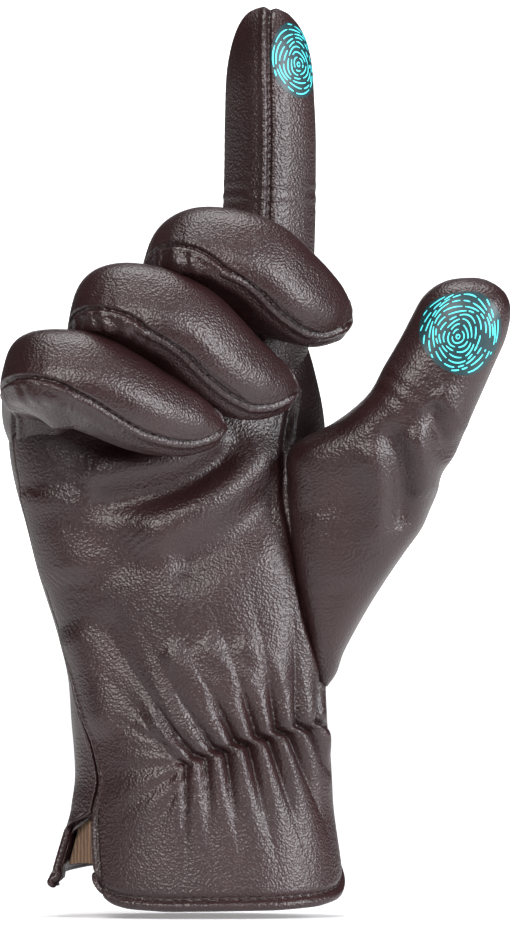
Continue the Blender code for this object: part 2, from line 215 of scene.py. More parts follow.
def knit_material(name, dark, light):
    """Brushed knitted lining: fine ribs up the glove."""
    made, nodes, links, shader = material(name, dark, 0.95)
    place = nodes.new("ShaderNodeTexCoord")
    wave = nodes.new("ShaderNodeTexWave")
    wave.bands_direction = "X"
    wave.inputs["Scale"].default_value = 320
    wave.inputs["Distortion"].default_value = 2.5
    wave.inputs["Detail"].default_value = 3
    links.new(place.outputs["Object"], wave.inputs["Vector"])
    ramp = nodes.new("ShaderNodeValToRGB")
    ramp.color_ramp.elements[0].color = (*dark, 1)
    ramp.color_ramp.elements[1].color = (*light, 1)
    links.new(wave.outputs["Fac"], ramp.inputs["Fac"])
    links.new(ramp.outputs["Color"], shader.inputs["Base Color"])
    bump = nodes.new("ShaderNodeBump")
    bump.inputs["Strength"].default_value = 0.5
    bump.inputs["Distance"].default_value = 0.0004
    links.new(wave.outputs["Fac"], bump.inputs["Height"])
    links.new(bump.outputs["Normal"], shader.inputs["Normal"])
    return made


LEATHER = leather_material("brown_leather", (0.0158, 0.0043, 0.0048), (0.0230, 0.0067, 0.0073), 0.5)
THREAD = material("dark_thread", (0.030, 0.018, 0.017), 0.7)[0]
KNIT = knit_material("tan_knit_lining", (0.09, 0.050, 0.030), (0.19, 0.115, 0.068))
ELASTIC = material("black_elastic", (0.02, 0.02, 0.022), 0.8)[0]
TINT = material("print_tint", (0.004, 0.030, 0.036), 0.45)[0]
# The print lines' pale teal colour is their own, but their emission is painted light: it makes them glow
# brighter than the lamps alone would light them.
PRINT_LINES_PAINTED_GLOW = material("print_lines_painted_glow", (0.08, 0.72, 0.78), 0.5)[0]
PRINT_LINES_PAINTED_GLOW.node_tree.nodes["Principled BSDF"].inputs["Emission Color"].default_value = (0.08, 0.7, 0.75, 1)
PRINT_LINES_PAINTED_GLOW.node_tree.nodes["Principled BSDF"].inputs["Emission Strength"].default_value = 0.35


# ---------------------------------------------------------------- meshes

def mesh_of(name, points, faces, materials, face_materials=None):
    """A smooth-shaded mesh object from points in millimetres."""
    mesh = bpy.data.meshes.new(name)
    mesh.from_pydata((np.asarray(points) * MM).tolist(), [], [tuple(map(int, f)) for f in faces])
    for m in materials:
        mesh.materials.append(m)
    mesh.polygons.foreach_set("use_smooth", [True] * len(mesh.polygons))
    if face_materials is not None:
        mesh.polygons.foreach_set("material_index", face_materials)
    mesh.update()
    obj = bpy.data.objects.new(name, mesh)
    bpy.context.scene.collection.objects.link(obj)
    return obj


def grid_faces(rows, columns, closed, first=0):
    i, j = np.meshgrid(np.arange(rows - 1), np.arange(columns if closed else columns - 1), indexing="ij")
    i, j = i.ravel(), j.ravel()
    k = (j + 1) % columns
    here, above = i * columns, (i + 1) * columns
    return np.stack([here + j, here + k, above + k, above + j], 1) + first


def grid_piece(name, grid, normals, closed, low, high, used, cap=False):
    """The rows low to high of a skin as one piece, with the whole skin's normals."""
    rows, columns = high - low + 1, grid.shape[1]
    points = grid[low : high + 1].reshape(-1, 3)
    outward = normals[low : high + 1].reshape(-1, 3)
    faces = grid_faces(rows, columns, closed).tolist()
    if cap:
        points = np.vstack([points, grid[high].mean(0)])
        outward = np.vstack([outward, unit(grid[high].mean(0) - grid[high - 4].mean(0))])
        base = (rows - 1) * columns
        faces += [(base + j, base + (j + 1) % columns, len(points) - 1) for j in range(columns)]
    obj = mesh_of(name, points, faces, used)
    obj.data.normals_split_custom_set_from_vertices(outward.tolist())
    return obj


# ---------------------------------------------------------------- the fingers

CURLED_AXIS = {
    "middle": unit((0.212, 0.5736, 0.7912)),
    "ring": unit((0.212, 0.5736, 0.7912)),
    "little": unit((0.1703, 0.5736, 0.8013)),
}
# Stations down each curled finger, from inside the hand to its tip: centre, half width towards the finger
# above, half width towards the finger below, half thickness, then the angles of the seam beside the finger
# below and of the one beside the finger above. 90 is the middle line of the finger's back.
CURLED_STATIONS = {
    "middle": ((-6, 0.5, 134, 11.0, 11.0, 11.0, 150, 32), (-5, 2, 148, 12.0, 12.0, 12.0, 148, 32),
               (-4.5, -7, 162, 12.6, 12.4, 12.8, 140, 32), (-4.3, -18, 173.5, 13.0, 12.8, 13.0, 124, 30),
               (-2.0, -28, 178.8, 13.2, 12.8, 13.4, 108, 30), (6.5, -30, 178.8, 13.4, 12.8, 13.2, 134, 28),
               (14, -29, 176.4, 13.2, 12.8, 12.9, 148, 28), (21, -26.5, 171.2, 12.4, 12.6, 12.2, 156, 30),
               (27.6, -23.5, 167.4, 10.4, 11.2, 11.0, 161, 34), (33.4, -21, 164.6, 7.4, 8.6, 8.6, 158, 46),
               (37.6, -19.4, 162.7, 4.0, 4.8, 5.0, 130, 66), (39.9, -18.5, 161.8, 1.3, 1.4, 1.6, 95, 88)),
    "ring": ((-26, -4, 132, 9.0, 9.0, 9.0, 150, 32), (-25.6, -6, 144, 11.4, 11.4, 11.0, 148, 32),
             (-25, -14, 155, 12.4, 12.2, 12.6, 142, 32), (-24.2, -27, 162.5, 12.8, 12.4, 13.0, 130, 30),
             (-22.4, -38, 164.0, 13.0, 12.4, 13.2, 118, 30), (-14.2, -40, 162.8, 13.2, 12.6, 13.2, 138, 28),
             (-6.6, -39, 159.6, 13.2, 12.8, 12.9, 149, 28), (0.6, -36.6, 153.6, 12.6, 12.8, 12.4, 155, 30),
             (7.4, -33.4, 149.0, 11.0, 12.2, 11.6, 160, 32), (14.0, -30.4, 146.2, 8.6, 10.4, 10.0, 162, 42),
             (20.0, -28.2, 144.4, 5.6, 7.2, 7.0, 154, 56), (24.0, -26.8, 143.2, 2.6, 3.4, 3.4, 120, 78),
             (25.4, -26.4, 142.6, 0.9, 1.1, 1.2, 92, 88)),
    "little": ((-43, -6, 126, 8.0, 8.0, 8.0, 150, 32), (-44.5, -8, 136, 11.0, 11.0, 11.0, 148, 32),
               (-43.5, -19, 145, 11.6, 11.6, 12.0, 144, 32), (-42.8, -33, 147, 12.0, 12.0, 12.6, 134, 30),
               (-41.4, -44, 146.4, 12.4, 12.0, 12.8, 122, 30), (-33, -46.4, 145.4, 12.8, 11.4, 12.8, 138, 28),
               (-25, -45.6, 141.8, 12.6, 10.6, 12.4, 148, 28), (-17.4, -43, 138.0, 11.8, 9.8, 11.6, 154, 30),
               (-9.8, -39.8, 135.6, 10.2, 8.8, 10.2, 158, 34), (-3, -37, 134.2, 7.8, 7.0, 8.2, 160, 46),
               (2.6, -35, 133.4, 4.4, 4.2, 4.8, 140, 66), (5.8, -34.0, 133.0, 1.2, 1.2, 1.4, 95, 88)),
}
SECTION_SQUARENESS = 2.7
CONTACT_HALF = 10.9  # half the pitch between two curled fingers
CONTACT_GIVE = 0.15


def contact_flattened(c):
    """The sides of neighbouring fingers press flat where they meet."""
    over = np.maximum(np.abs(c) - CONTACT_HALF, 0)
    return np.sign(c) * (np.minimum(np.abs(c), CONTACT_HALF) + over * CONTACT_GIVE)


def sweep(stations, axis, squareness, around, flatten=True):
    """Rings round the stations' line. axis is the bending axis, or one axis per ring's height."""
    line = curve(stations, 0.25)
    centre = line[:, :3]
    along = unit(np.gradient(centre, axis=0))
    across = unit(axis - (along @ axis)[:, None] * along)
    dorsal = np.cross(along, across)
    outer = centre + dorsal * line[:, 5:6]
    walked = np.r_[0, np.cumsum(np.maximum(np.linalg.norm(np.diff(centre, axis=0), axis=1),
                                           np.linalg.norm(np.diff(outer, axis=0), axis=1)))]
    at = np.linspace(0, walked[-1], int(walked[-1] / FINE) + 1)
    every = np.concatenate([across, dorsal, along, line], 1)
    every = np.stack([np.interp(at, walked, every[:, k]) for k in range(every.shape[1])], 1)
    across, dorsal, along = (unit(every[:, k : k + 3]) for k in (0, 3, 6))
    centre, up, down, deep = every[:, 9:12], every[:, 12], every[:, 13], every[:, 14]
    angle = np.arange(around) * 2 * math.pi / around
    c, s = np.cos(angle)[None], np.sin(angle)[None]
    wide = np.where(c > 0, up[:, None], down[:, None])
    radius = (np.abs(c / wide) ** squareness + np.abs(s / deep[:, None]) ** squareness) ** (-1 / squareness)
    offset = contact_flattened(c * radius) if flatten else c * radius
    grid = (centre[:, None] + offset[..., None] * across[:, None]
            + (s * radius)[..., None] * dorsal[:, None])
    return grid, at, np.degrees(angle), radius, centre, along, every[:, 15:]


def angle_gap(angles, wanted):
    return (angles[None] - wanted[:, None] + 180) % 360 - 180


def curled_finger(name, seed):
    """The rings of a curled finger with its seams, wrinkles and puffs."""
    grid, at, angle, radius, centre, along, seams = sweep(
        CURLED_STATIONS[name], CURLED_AXIS[name], SECTION_SQUARENESS, FINGER_AROUND)
    share = at / at[-1]
    normals = grid_normals(grid, True)
    here = at[:, None] + 0 * angle[None]
    height = 0.4 * lattice(grid, 12.0, seed)
    lower = angle_gap(angle, seams[:, 0]) * math.pi / 180 * radius
    upper = -angle_gap(angle, seams[:, 1]) * math.pi / 180 * radius
    tip_fade = smooth(1.0, 0.97, share)[:, None]
    for gap in (lower, upper):
        height += tip_fade * seam_profile(gap, here)
    # The side strip below the lower seam puffs out as a tube.
    height += 1.0 * bell(lower - 5.4, 3.0) * smooth(0.3, 0.5, share)[:, None] * tip_fade
    # Small wrinkles radiate across the strip at the knuckle.
    knuckle = smooth(0.36, 0.44, share)[:, None] * smooth(0.66, 0.52, share)[:, None]
    strip = bell(lower - 3.6, 3.6) * (lower > 0)
    height += 0.35 * knuckle * strip * np.sin(here * 1.15 + 2.6 * lattice(grid, 5.0, seed + 2))
    # Soft creases across the back just below the seam lips, where the leather was bent.
    height += 0.08 * knuckle * bell(lower + 3.0, 3.2) * np.sin(here * 1.35 + seed)
    height *= smooth(0.0, 0.08, share)[:, None]
    grid = grid + normals * height[..., None]
    return grid, share, centre, along


def straight_finger():
    """The index finger: four panels, with one seam down the middle of the side that faces the viewer."""
    stations = (
        (12.5, 5.0, 130, 13, 13, 12), (14.5, 5.5, 148, 13.2, 13.2, 12), (16.0, 6.5, 165, 12.6, 12.6, 12),
        (17.2, 7, 182, 12.2, 12.2, 12), (17.9, 7, 200, 12.0, 12.0, 11.8), (18.1, 7, 218, 11.8, 11.8, 11.6),
        (17.9, 7, 231, 11.3, 11.3, 11.2), (17.8, 7, 239.6, 9.8, 9.8, 10.0), (17.8, 7, 245.2, 7.6, 7.6, 8.0),
        (18.0, 7, 248.8, 4.6, 4.6, 5.2), (18.2, 7, 250.4, 1.8, 1.8, 2.2),
    )
    grid, at, angle, radius, centre, along, _ = sweep(
        stations, unit((0.77, 0.64, 0)), 2.5, FINGER_AROUND, flatten=False)
    share = at / at[-1]
    normals = grid_normals(grid, True)
    here = at[:, None] + 0 * angle[None]
    height = 0.25 * lattice(grid, 14.0, 21)
    tip_fade = smooth(1.0, 0.985, share)[:, None]
    for wanted, share_of_depth, full_side in INDEX_SEAMS:
        gap = ((angle[None] - wanted + 180) % 360 - 180) * math.pi / 180 * radius
        height += tip_fade * share_of_depth * seam_profile(full_side * gap, here, 1.1, 0.55)
        # The seam ends in a small notch between the panels' rounded ends.
        height -= 1.4 * bell(gap, 1.5) * smooth(0.965, 0.99, share)[:, None]
    # Faint wrinkles cross the finger in two rings, as on leather pulled over a finger.
    for middle, wave in ((0.30, 0.5), (0.55, 0.35)):
        ring = np.exp(-(((share - middle) / 0.03) ** 2))[:, None]
        height += 0.3 * wave * ring * np.sin(here * 1.6 + 0.8 * lattice(grid, 6.0, 23))
    height *= smooth(0.0, 0.1, share)[:, None]
    return grid + normals * height[..., None], share, centre, along


# Seams of the index finger: the one that faces the viewer is deep, the others are pressed flat.
INDEX_SEAMS = ((229.0, 1.0, -1), (338.0, 0.3, 1), (40.0, 0.3, 1), (140.0, 0.3, 1))


def nearest_row(centre, point):
    return int(np.linalg.norm(centre - np.asarray(point), axis=1).argmin())


JOINT_AT = {j["name"]: np.array(j["pos_m"]) / MM for j in frame["joints"]}


def split_finger(name, grid, centre, along, root_share=10.0, knuckle_before_end=9.0):
    """Three pieces, each of which covers one joint of the finger."""
    normals = grid_normals(grid, True)
    root, knuckle, end = (JOINT_AT[f"{name}_{j}"] for j in ("root", "knuckle", "end"))
    upper = unit(knuckle - root)
    lower = unit(end - knuckle)
    first = nearest_row(centre, root + upper * root_share)
    second = nearest_row(centre, end - lower * knuckle_before_end)
    tip_way = unit(centre[-1] - end)
    diagonal = unit(upper + lower)
    entering = along[nearest_row(centre, root)]
    spans = {
        "root": (0, first, "hand", f"{name}_proximal", root - 6 * entering, root + 5.5 * entering),
        "knuckle": (first, second, f"{name}_proximal", f"{name}_middle",
                    knuckle - 4.5 * diagonal, knuckle + 3 * diagonal),
        "end": (second, len(grid) - 1, f"{name}_middle", f"{name}_tip", end - 4.5 * lower, end + 5 * tip_way),
    }
    nodes = {
        "root": ["root_gusset", "proximal_leather", "proximal_lining", "fourchette"],
        "knuckle": ["knuckle_gusset", "middle_leather", "middle_lining"],
        "end": ["end_gusset", "tip_leather", "tip_lining"],
    }
    for part, (low, high, a, b, start, stop) in spans.items():
        piece = grid_piece(f"{name}_{part}_skin", grid, normals, True, low, high, [LEATHER], part == "end")
        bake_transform(piece)
        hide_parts(*[f"{name}_{node}" for node in nodes[part]])
    return normals


for number, curled in enumerate(("middle", "ring", "little")):
    skin, share, centre, along = curled_finger(curled, 31 + 7 * number)
    split_finger(curled, skin, centre, along)
index_grid, index_share, index_centre, index_along = straight_finger()
split_finger("index", index_grid, index_centre, index_along, 12.0, 10.0)


# ---------------------------------------------------------------- the hand

# Sections of the hand: height, X of the little-finger edge, X of the thumb edge, depth of the centre,
# half thickness, twist in degrees.
HAND_SECTIONS = (
    (-1, -37.6, 38.6, 0, 25.6, 0), (6, -38.2, 38.4, 0, 25.6, 0), (14, -38.0, 37.6, 0, 25.2, 0),
    (27.5, -37.2, 35.6, 0, 24.3, 0), (36, -36.2, 35.0, 0, 23.4, 0), (44, -36.4, 34.4, 0, 22.6, 0),
    (52, -37.0, 33.6, 0, 22.2, 1), (64, -37.8, 33.6, 0, 22, 2), (74, -40.2, 34.6, 0, 21.6, 3),
    (86, -43.8, 35.5, 0, 21, 4), (96, -46.8, 35.8, -0.3, 20.5, 5), (106, -49.6, 35.6, -0.5, 20, 7),
    (117, -52.6, 35, -0.8, 19.2, 8.5), (127, -54.6, 34, -1, 18.2, 10), (137, -55.0, 33, -1, 16.8, 11.5),
    (146, -54.0, 31.6, -1, 14.6, 12.5), (153, -51.5, 30.2, -1, 11.4, 13), (158, -48, 28.4, -1, 7, 13),
    (160, -44, 26, -1, 2, 13),
)
HAND_SQUARENESS = 2.3
HEM_ROLL = 1.15  # radius of the rolled hem
FACING_DEPTH = 13.0  # how far the leather is turned up inside
VENT_FACING_DEPTH = 5.0  # and how far it is turned in at the vent
VENT_TOP = 27.8
VENT_FLARE = 7.0
# Thumb seam on the palm, as (X, Z), from the crotch down to the point at the wrist.
THUMB_SEAM = ((24.2, 143), (23.4, 138), (22.3, 131), (21.8, 124.8), (22.4, 114.6), (25.2, 98.7),
              (27.8, 81.8), (30.9, 71), (33.4, 64.6))


def hand_rows(z):
    table = curve(np.array(HAND_SECTIONS)[:, [1, 2, 0, 3, 4, 5]], 0.4)
    order = np.argsort(table[:, 2])
    return [np.interp(z, table[order, 2], table[order, k]) for k in (0, 1, 3, 4, 5)]


def hand_surface(z, angle):
    """Points of the hand's plain surface at these heights and angles, in degrees."""
    ulnar, radial, depth, half, twist = hand_rows(z)
    centre, width = (ulnar + radial) / 2, (radial - ulnar) / 2
    turned = np.radians(angle)
    c, s = np.cos(turned), np.sin(turned)
    x = np.sign(c) * np.abs(c) ** (2 / HAND_SQUARENESS) * width
    y = np.sign(s) * np.abs(s) ** (2 / HAND_SQUARENESS) * half
    t = np.radians(twist)
    return np.stack([centre + x * np.cos(t) - y * np.sin(t), depth + x * np.sin(t) + y * np.cos(t), z], -1)


def near_lines(x, z, folds):
    """Sum of ridges and valleys drawn on the palm: height, half width, then (X, Z) points of each."""
    total = np.zeros_like(x)
    flat = np.stack([x, z], -1)
    for rise, width, points in folds:
        line = curve(points, 0.8)
        gap, nearest = distance_to(flat, line)
        share = nearest / (len(line) - 1)
        total += rise * bell(gap, width) * smooth(-0.02, 0.2, share) * smooth(1.02, 0.8, share)
    return total


# Broad folds of the palm: rise, half width, and the line they follow as (X, Z).
PALM_FOLDS = (
    (3.0, 5.0, ((-36, 120), (-20, 123.5), (-5, 126.5), (7, 134))),
    (3.2, 6.5, ((-22, 101), (-6, 109), (9, 119), (21, 131))),
    (-2.4, 3.8, ((-36, 111), (-16, 114.5), (-2, 119.5), (12, 130))),
    (-1.8, 5.6, ((-12, 93), (5, 101), (15, 110), (21, 119))),
    (1.8, 10.0, ((-41, 118), (-41, 106), (-37, 90))),
    (-1.0, 5.5, ((-46, 114), (-36, 106), (-26, 100), (-18, 90))),
    (0.9, 8.0, ((-16, 84), (0, 87), (13, 94), (21, 101))),
    (1.1, 3.6, ((-12, 73), (-3, 66), (4, 58))),
    (1.1, 3.6, ((-2, 75), (7, 67), (14, 60))),
    (0.9, 3.4, ((9, 76), (16, 69), (22, 61))),
    (1.5, 5.0, ((-38, 80), (-33, 67), (-30, 57), (-27, 48))),
    (-1.2, 4.6, ((-30, 84), (-23, 70), (-19, 60), (-16, 50))),
)
# The wrist elastic, as (X, Z) on the palm: it climbs towards the thumb.
ELASTIC_LINE = ((-60, 40.6), (-9, 41.2), (-4.7, 41.9), (6.6, 45.6), (18.2, 48.8), (28.4, 51.4), (60, 53.0))
GATHER_PITCH = 5.7
GATHER_START = -6.5  # X where the gathers begin


def gathers(x, z, phase=0.0):
    """Deep folds that fan out above and below the elastic."""
    xs, zs = zip(*ELASTIC_LINE)
    above = z - np.interp(x, xs, zs)
    below = np.maximum(-above, 0)
    over = np.maximum(above, 0)
    spread = np.where(above < 0, (x - 0.068 * below) / (1 + 0.0136 * below),
                      (x + 0.62 * over) / (1 + 0.0225 * over))
    jitter = 0.7 * lattice(np.stack([spread, 0 * z, z * 0.15], -1), 7.0, 61)
    # The folds below the elastic start between those above it.
    step = GATHER_PITCH / 2 * smooth(-1.6, 1.6, above)
    wave = np.abs(np.sin(math.pi * (spread + jitter + phase + step) / GATHER_PITCH)) ** 0.65
    inside = smooth(GATHER_START - 3, GATHER_START + 3, spread)
    reach = np.where(above < 0, np.exp(-((below / 17.0) ** 1.7)), np.exp(-((over / 18.0) ** 1.6)) * 0.8)
    deep = 0.9 + 0.3 * lattice(np.stack([spread, 0 * z, 0 * z], -1), 6.0, 62)
    folds = 4.9 * (wave - 0.55) * reach * inside * deep
    pinch = -0.9 * bell(above - 0.3, 2.2) * inside
    # To the left of the elastic's end the leather only wrinkles finely, as a fan.
    dx, dz = x - (GATHER_START + 3.5), z - 42.0
    turn = np.arctan2(dz, -dx)
    reach = smooth(2.5, 7.0, np.hypot(dx, dz)) * smooth(32.0, 12.0, np.hypot(dx, dz)) * (dx < 0)
    fan = 0.26 * np.sin(turn * 13 + 2.2 * lattice(np.stack([turn * 6, 0 * z, z * 0.1], -1), 1.5, 63))
    return folds + pinch + fan * reach * smooth(1.45, 1.1, np.abs(turn))


# Height of the hem round the cuff, by degrees round from the vent's palm edge: it dips lowest under the
# palm and is cut higher at the thumb side and the back.
HEM_HEIGHTS = ((-20, 11), (0, 9.0), (4, 5.2), (10, 2.2), (20, 0.8), (40, 0.1),
               (85, 0.5), (112, 1.4), (135, 3.2),
               (152, 6.4), (168, 10.6), (200, 12.0), (300, 12.0), (335, 10.0),
               (352, 7.2), (360, 6.2), (380, 6))
# Angle of the line where palm and back are sewn on the little-finger side, by height, and of the palm's
# free edge below the vent's end.
SIDE_LINE = ((-5, 220), (10, 218), (27.8, 213), (33, 218), (40, 217), (49, 211), (58, 202),
             (70, 193), (84, 190),
             (170, 190))


def hem_height(turned):
    xs, zs = zip(*HEM_HEIGHTS)
    return (np.interp(turned - 3, xs, zs) + np.interp(turned, xs, zs) + np.interp(turned + 3, xs, zs)) / 3


def side_line(z):
    heights, angles = zip(*SIDE_LINE)
    return (np.interp(z - 3, heights, angles) + np.interp(z, heights, angles)
            + np.interp(z + 3, heights, angles)) / 3


def make_hand():
    """The hand's skin: palm, thumb side and back in one grid, open at the vent; with_rolled_edges turns its
    edges in.
    """
    top = HAND_SECTIONS[-1][0]
    walk = np.linspace(0, 1, int(top / HAND_FINE) + 1)
    turned = np.linspace(0, 360, HAND_AROUND + 1)[None]
    base = hem_height(turned)
    z = base + (top - base) * walk[:, None]
    # Below the vent's end the two edges part: the palm's runs straight down, the back's flares out.
    opened = np.clip(1 - z / VENT_TOP, 0, 1)
    first, last = side_line(z), side_line(z) - 28.0 * smooth(0, 0.22, opened)
    angle = first + (360 + last - first) * turned / 360
    grid = hand_surface(z, angle)
    flare = opened**1.2 * smooth(250, 345, turned)
    grid[..., 0] -= VENT_FLARE * flare
    grid[..., 1] += 1.0 * flare
    normals = grid_normals(grid, False)
    x = grid[..., 0]
    front = smooth(0.05, 0.45, -normals[..., 1])
    height = 0.5 * lattice(grid, 18.0, 51)
    height += near_lines(x, z, PALM_FOLDS) * front
    # Faint cross wrinkles on the outer edge of the palm.
    edge = smooth(-22, -40, x) * smooth(64, 80, z) * smooth(122, 105, z)
    edge = edge * smooth(0, 0.6, lattice(grid, 16.0, 54))
    height += 0.13 * edge * np.sin(z * 2.0 + 3.0 * lattice(grid, 9.0, 53))
    height += gathers(x, z) * front
    rear = smooth(0.05, 0.45, normals[..., 1])
    height += 0.5 * gathers(-x + 4, z + 2.0, 2.0) * rear * smooth(34, 24, np.abs(x))
    # Thumb seam: the palm dips into it.
    line = curve(THUMB_SEAM, 0.4)
    gap, _ = distance_to(np.stack([x, z], -1), line)
    height += front * (-1.2 * bell(gap, 1.0) + 0.3 * bell(gap - 2.2, 1.2))
    # Side seam above the vent, and the rolled edges' topstitching below.
    from_side = np.where(turned < 180, turned, turned - 360) * MM_PER_DEGREE + 0 * z
    height += (z > VENT_TOP) * seam_profile(from_side, z, 0.8, 0.4) * smooth(80, 66, z)
    from_hem = z - base
    stitch = -0.9 * bell(from_hem - STITCH_INSET, 0.7) + 0.6 * bell(from_hem - 1.8, 1.3)
    along_vent = smooth(VENT_TOP + 1, VENT_TOP - 4, z)
    for gap in (turned * MM_PER_DEGREE + 0 * z, (360 - turned) * MM_PER_DEGREE + 0 * z):
        stitch += along_vent * (-0.8 * bell(gap - STITCH_INSET, 0.7) + 0.4 * bell(gap - 1.7, 1.2))
    height += stitch
    # The displacement of the cuff goes straight out, so that the hem keeps its thickness.
    level = unit(normals * np.array([1, 1, 0.15]))
    share = smooth(40, 60, z)[..., None]
    return grid + (level * (1 - share) + normals * share) * height[..., None]


STITCH_INSET = 3.7
MM_PER_DEGREE = 0.62  # round the cuff
STITCH_PITCH = 2.6
STITCH_LENGTH = 1.9
THREAD_RADIUS = 0.27


def sample(grid, row, column):
    """The grid at fractional rows and columns."""
    row = np.clip(row, 0, grid.shape[0] - 1.001)
    column = np.clip(column, 0, grid.shape[1] - 1.001)
    i, j = row.astype(int), column.astype(int)
    a, b = (row - i)[..., None], (column - j)[..., None]
    return ((1 - a) * (1 - b) * grid[i, j] + a * (1 - b) * grid[i + 1, j]
            + (1 - a) * b * grid[i, j + 1] + a * b * grid[i + 1, j + 1])


def rolled(spacing, depth, count):
    """Rows of a panel whose edge is rolled in: places along the panel, and how far each lies inside."""
    arc = np.linspace(math.pi, 0, 9)
    inner = np.arange(depth, HEM_ROLL, -1.2)
    places = np.r_[inner, HEM_ROLL * (1 - np.sin(arc))] / spacing
    inside = np.r_[0 * inner + 2 * HEM_ROLL, HEM_ROLL * (1 - np.cos(arc))]
    outer = np.arange(math.ceil(HEM_ROLL / spacing) + 1, count)
    return np.r_[places, outer], np.r_[inside, 0.0 * outer]


def with_rolled_edges(grid):
    """The hand's grid with its hem and the vent's two edges turned in."""
    rows, in_rows = rolled(HAND_FINE, FACING_DEPTH, grid.shape[0])
    left, in_left = rolled(HAND_FINE, VENT_FACING_DEPTH, grid.shape[1])
    middle = (grid.shape[1] - 1) / 2
    keep = left < middle
    columns = np.r_[left[keep], (grid.shape[1] - 1) - left[keep][::-1]]
    in_columns = np.r_[in_left[keep], in_left[keep][::-1]]
    r, c = np.meshgrid(rows, columns, indexing="ij")
    normals = blurred(grid_normals(grid, False), 1, 1, False)
    depth = np.maximum(in_rows[:, None], in_columns[None])
    points = sample(grid, r, c) - unit(sample(normals, r, c)) * depth[..., None]
    return points


hand_grid = make_hand()
hand_full = with_rolled_edges(hand_grid)
hand_normals = grid_normals(hand_full, False)
hand_skin = grid_piece("hand_skin", hand_full, hand_normals, False, 0, len(hand_full) - 1, [LEATHER])
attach(hand_skin, "hand")
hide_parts("palm_leather", "back_leather", "palm_cuff_hem", "back_cuff_hem",
            "palm_vent_facing", "back_vent_facing")


def inner_sleeve(name, inset, low, high, used, closed_top):
    """A sleeve inside the hand, this far below the leather."""
    angles = np.linspace(0, 360, 181)[:-1][None]
    z = np.arange(low, high + 0.1, 1.5)[:, None] + 0 * angles
    plain = hand_surface(z, angles)
    opened = np.clip(1 - z / VENT_TOP, 0, 1)
    flare = opened**1.3 * smooth(75, 155, angles) * smooth(200, 185, angles)
    plain[..., 0] -= VENT_FLARE * flare * 0.9
    normals = grid_normals(plain, True)
    grid = plain - normals * (inset + 0.3 * lattice(plain, 8.0, 71))[..., None]
    if closed_top:
        centre = grid[-1].mean(0)
        dome = [centre + (grid[-1] - centre) * math.cos(a) + np.array([0, 0, 9 * math.sin(a)])
                for a in np.linspace(0.15, 1.5, 9)]
        grid = np.concatenate([grid, np.array(dome)])
    inward = grid[:, ::-1]
    return grid_piece(name, inward, grid_normals(inward, True), True, 0, len(grid) - 1, used)


lining = inner_sleeve("hand_lining", 2.9, 13.5, 70.0, [KNIT], True)
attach(lining, "hand")
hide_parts("palm_lining", "back_lining")
band = inner_sleeve("wrist_elastic_band", 2.7, 41.0, 48.5, [ELASTIC], False)
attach(band, "hand")
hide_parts("wrist_elastic")


def capsule(start, end, radius, bulge):
    """A short thread lying on the leather: a bent, tapered bar, as points and faces."""
    start, end, bulge = np.asarray(start), np.asarray(end), np.asarray(bulge)
    along = unit(end - start)
    side = unit(np.cross(along, bulge))
    points, faces, around = [], [], 6
    for share, size in ((0, 0.45), (0.15, 0.9), (0.5, 1.0), (0.85, 0.9), (1, 0.45)):
        centre = start + (end - start) * share + bulge * radius * 1.2 * math.sin(math.pi * share)
        for k in range(around):
            a = 2 * math.pi * k / around
            points.append(centre + radius * size * (math.cos(a) * side + math.sin(a) * bulge))
    for ring in range(4):
        for k in range(around):
            a, b = ring * around + k, ring * around + (k + 1) % around
            faces.append((a, b, b + around, a + around))
    faces += [tuple(range(around))[::-1], tuple(range(4 * around, 5 * around))]
    return points, faces


def stitching(name, rows, columns, body):
    """Stitches along a path of the hand's grid."""
    path = sample(hand_grid, rows, columns)
    outward = unit(sample(grid_normals(hand_grid, False), rows, columns))
    along = np.r_[0, np.cumsum(np.linalg.norm(np.diff(path, axis=0), axis=1))]
    points, faces = [], []
    for start in np.arange(1.0, along[-1] - STITCH_PITCH, STITCH_PITCH):
        ends = [np.array([np.interp(start + d, along, path[:, k]) for k in range(3)])
                for d in (0, STITCH_LENGTH)]
        up = unit([np.interp(start + 1, along, outward[:, k]) for k in range(3)])
        p, f = capsule(ends[0] + up * 0.12, ends[1] + up * 0.12, THREAD_RADIUS, up)
        faces += [tuple(v + len(points) for v in face) for face in f]
        points += p
    made = mesh_of(name, points, faces, [THREAD])
    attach(made, body)
    return made


stitch_columns = np.arange(STITCH_INSET / HAND_FINE, hand_grid.shape[1] - 1 - STITCH_INSET / HAND_FINE, 0.5)
stitching("hem_stitches", np.full(len(stitch_columns), STITCH_INSET / HAND_FINE), stitch_columns, "hand")
stitch_rows = np.arange(STITCH_INSET / HAND_FINE, VENT_TOP / HAND_FINE * 0.98, 0.5)
stitching("vent_stitches", stitch_rows, np.full(len(stitch_rows), STITCH_INSET / HAND_FINE), "hand")


# ---------------------------------------------------------------- the thumb

